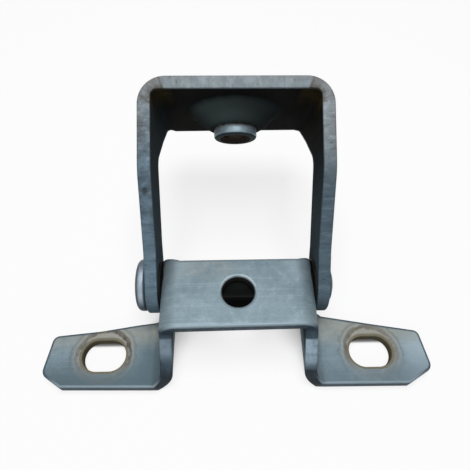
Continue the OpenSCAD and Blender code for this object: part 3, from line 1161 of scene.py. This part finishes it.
def bush_polymer():
    """Dull black polymer."""
    finish = Finish("bush_polymer")
    place = finish.node("TexCoord", output="Object")
    grain = finish.noise(place, 2200.0, 3)
    colour = finish.mix(grain, BUSH_DARK, BUSH_PALE)
    finish.set(Base_Color=colour, Roughness=0.5 + 0.2 * grain, Specular_IOR_Level=0.15)
    finish.set(Normal=finish.bump(grain, 0.2, 0.00005))
    return finish.material


# Camera, lights and floor


def camera():
    """The photograph's camera, fitted to the hinge's outlines."""
    pitch = math.radians(58.252)
    yaw = math.radians(2.363)
    roll = math.radians(1.368)
    level = math.cos(pitch)
    forward = Vector((math.sin(yaw) * level, math.cos(yaw) * level, -math.sin(pitch)))
    right = Vector((math.cos(yaw), -math.sin(yaw), 0))
    up = right.cross(forward)
    rolled_right = right * math.cos(roll) + up * math.sin(roll)
    rolled_up = up * math.cos(roll) - right * math.sin(roll)
    data = bpy.data.cameras.new("camera")
    data.sensor_width = 36
    data.lens = 31.75
    data.clip_start = 0.005
    made = bpy.data.objects.new("camera", data)
    place = Vector((-3.199, -34.483, 125.289)) * MM
    axes = Matrix((rolled_right, rolled_up, -forward)).transposed().to_4x4()
    made.matrix_world = Matrix.Translation(place) @ axes
    bpy.context.scene.collection.objects.link(made)
    bpy.context.scene.camera = made


def lamp(name, place, size, power):
    """Square soft lamp aimed at the hinge."""
    data = bpy.data.lights.new(name, "AREA")
    data.shape = "SQUARE"
    data.size = size
    data.energy = power
    made = bpy.data.objects.new(name, data)
    target = Vector((0, 0.03, 0.02))
    made.location = place
    aim = (target - made.location).to_track_quat("-Z", "Y")
    made.rotation_euler = aim.to_euler()
    bpy.context.scene.collection.objects.link(made)


def white_to_camera(finish):
    """Is 1 for rays that show the background itself, and 0 for those that light the part."""
    seen = finish.node("LightPath", output="Is Camera Ray")
    seen = seen.most(finish.node("LightPath", output="Is Glossy Ray"))
    return seen.most(finish.node("LightPath", output="Is Transmission Ray"))


def grey(level):
    """Linear grey of a level from 0 to 1."""
    return (level, level, level, 1)


# The floor's sizes, in metres
FLOOR_SIZE = 3.0
FLOOR_Z = -0.00005
SHADE_REACH = 0.03
UNDER_PIN_X = (0.021, 0.005)
UNDER_PIN_Y = (0.0155, 0.022)
UNDER_WALL_Y = (0.0032, 0.0042)


def floor():
    """Pale floor, shaded close to the hinge, with painted shadows under its pin and along its slots'
    rear walls, and white in its slots.
    """
    mesh = bpy.data.meshes.new("floor")
    ends = (-FLOOR_SIZE, FLOOR_SIZE)
    corners = [(x, y, FLOOR_Z) for x in ends for y in ends]
    mesh.from_pydata(corners, [], [(0, 2, 3, 1)])
    made = bpy.data.objects.new("floor", mesh)
    finish = Finish("floor_paper")
    open_above = finish.node("AmbientOcclusion", {"samples": 32}, {"Distance": SHADE_REACH}, "AO")
    x, y, _ = finish.parts(finish.node("TexCoord", output="Object"))
    beside = (abs(x) - SLOT_X * MM) * (SLOT_W / SLOT_L)
    in_slots = (beside * beside + y * y).root().ramp(0.8 * SLOT_W * MM, 0.6 * SLOT_W * MM)
    # Painted shadows: a dark patch under the pin, and a dark strip along each slot's rear wall
    under_pin = abs(x).ramp(*UNDER_PIN_X) * y.band(*UNDER_PIN_Y, 0.006)
    under_wall = in_slots * y.ramp(*UNDER_WALL_Y) * 0.85
    shade = open_above.ramp(0.04, 0.42) * (1 - under_pin)
    clear = shade.most(in_slots) * (1 - under_wall)
    paper = finish.mix(clear, grey(0.03), grey(0.26))
    finish.set(Base_Color=paper, Roughness=0.9, Specular_IOR_Level=0)
    glow = finish.node("Emission", sockets={"Color": finish.mix(clear, grey(0), grey(0.8))})
    paper_shader = Wire(finish, finish.shader.outputs[0])
    lit = finish.node("AddShader", sockets={0: paper_shader, 1: glow})
    dim = finish.node("BsdfDiffuse", sockets={"Color": grey(0.12)})
    both = finish.node("MixShader", sockets={0: white_to_camera(finish), 1: dim, 2: lit})
    finish.feed(finish.tree.nodes["Material Output"].inputs["Surface"], both)
    mesh.materials.append(finish.material)
    bpy.context.scene.collection.objects.link(made)


class World(Finish):
    """The room's soft light, white where it is seen."""

    def __init__(self, strength):
        world = bpy.data.worlds.new("studio")
        bpy.context.scene.world = world
        world.use_nodes = True
        self.tree = world.node_tree
        background = self.tree.nodes["Background"]
        background.inputs["Color"].default_value = (1, 1, 1, 1)
        seen = white_to_camera(self)
        self.feed(background.inputs["Strength"], strength + seen * (1 - strength))


def studio():
    """Soft light from above and in front, at a plain level, over a pale floor."""
    bpy.context.scene.view_settings.view_transform = "Standard"
    World(strength=0.08)
    lamp("overhead", Vector((0, 0.09, 0.66)), size=0.4, power=2.75)
    lamp("front_fill", Vector((-0.12, -0.5, 0.3)), size=0.35, power=0.45)
    floor()


camera()
studio()
base_bracket(bracket_plating())
hinge_arm(arm_plating())
hinge_pin(pin_steel())
polymer = bush_polymer()
bush(-1, polymer)
bush(1, polymer)
threaded_collar(collar_steel())
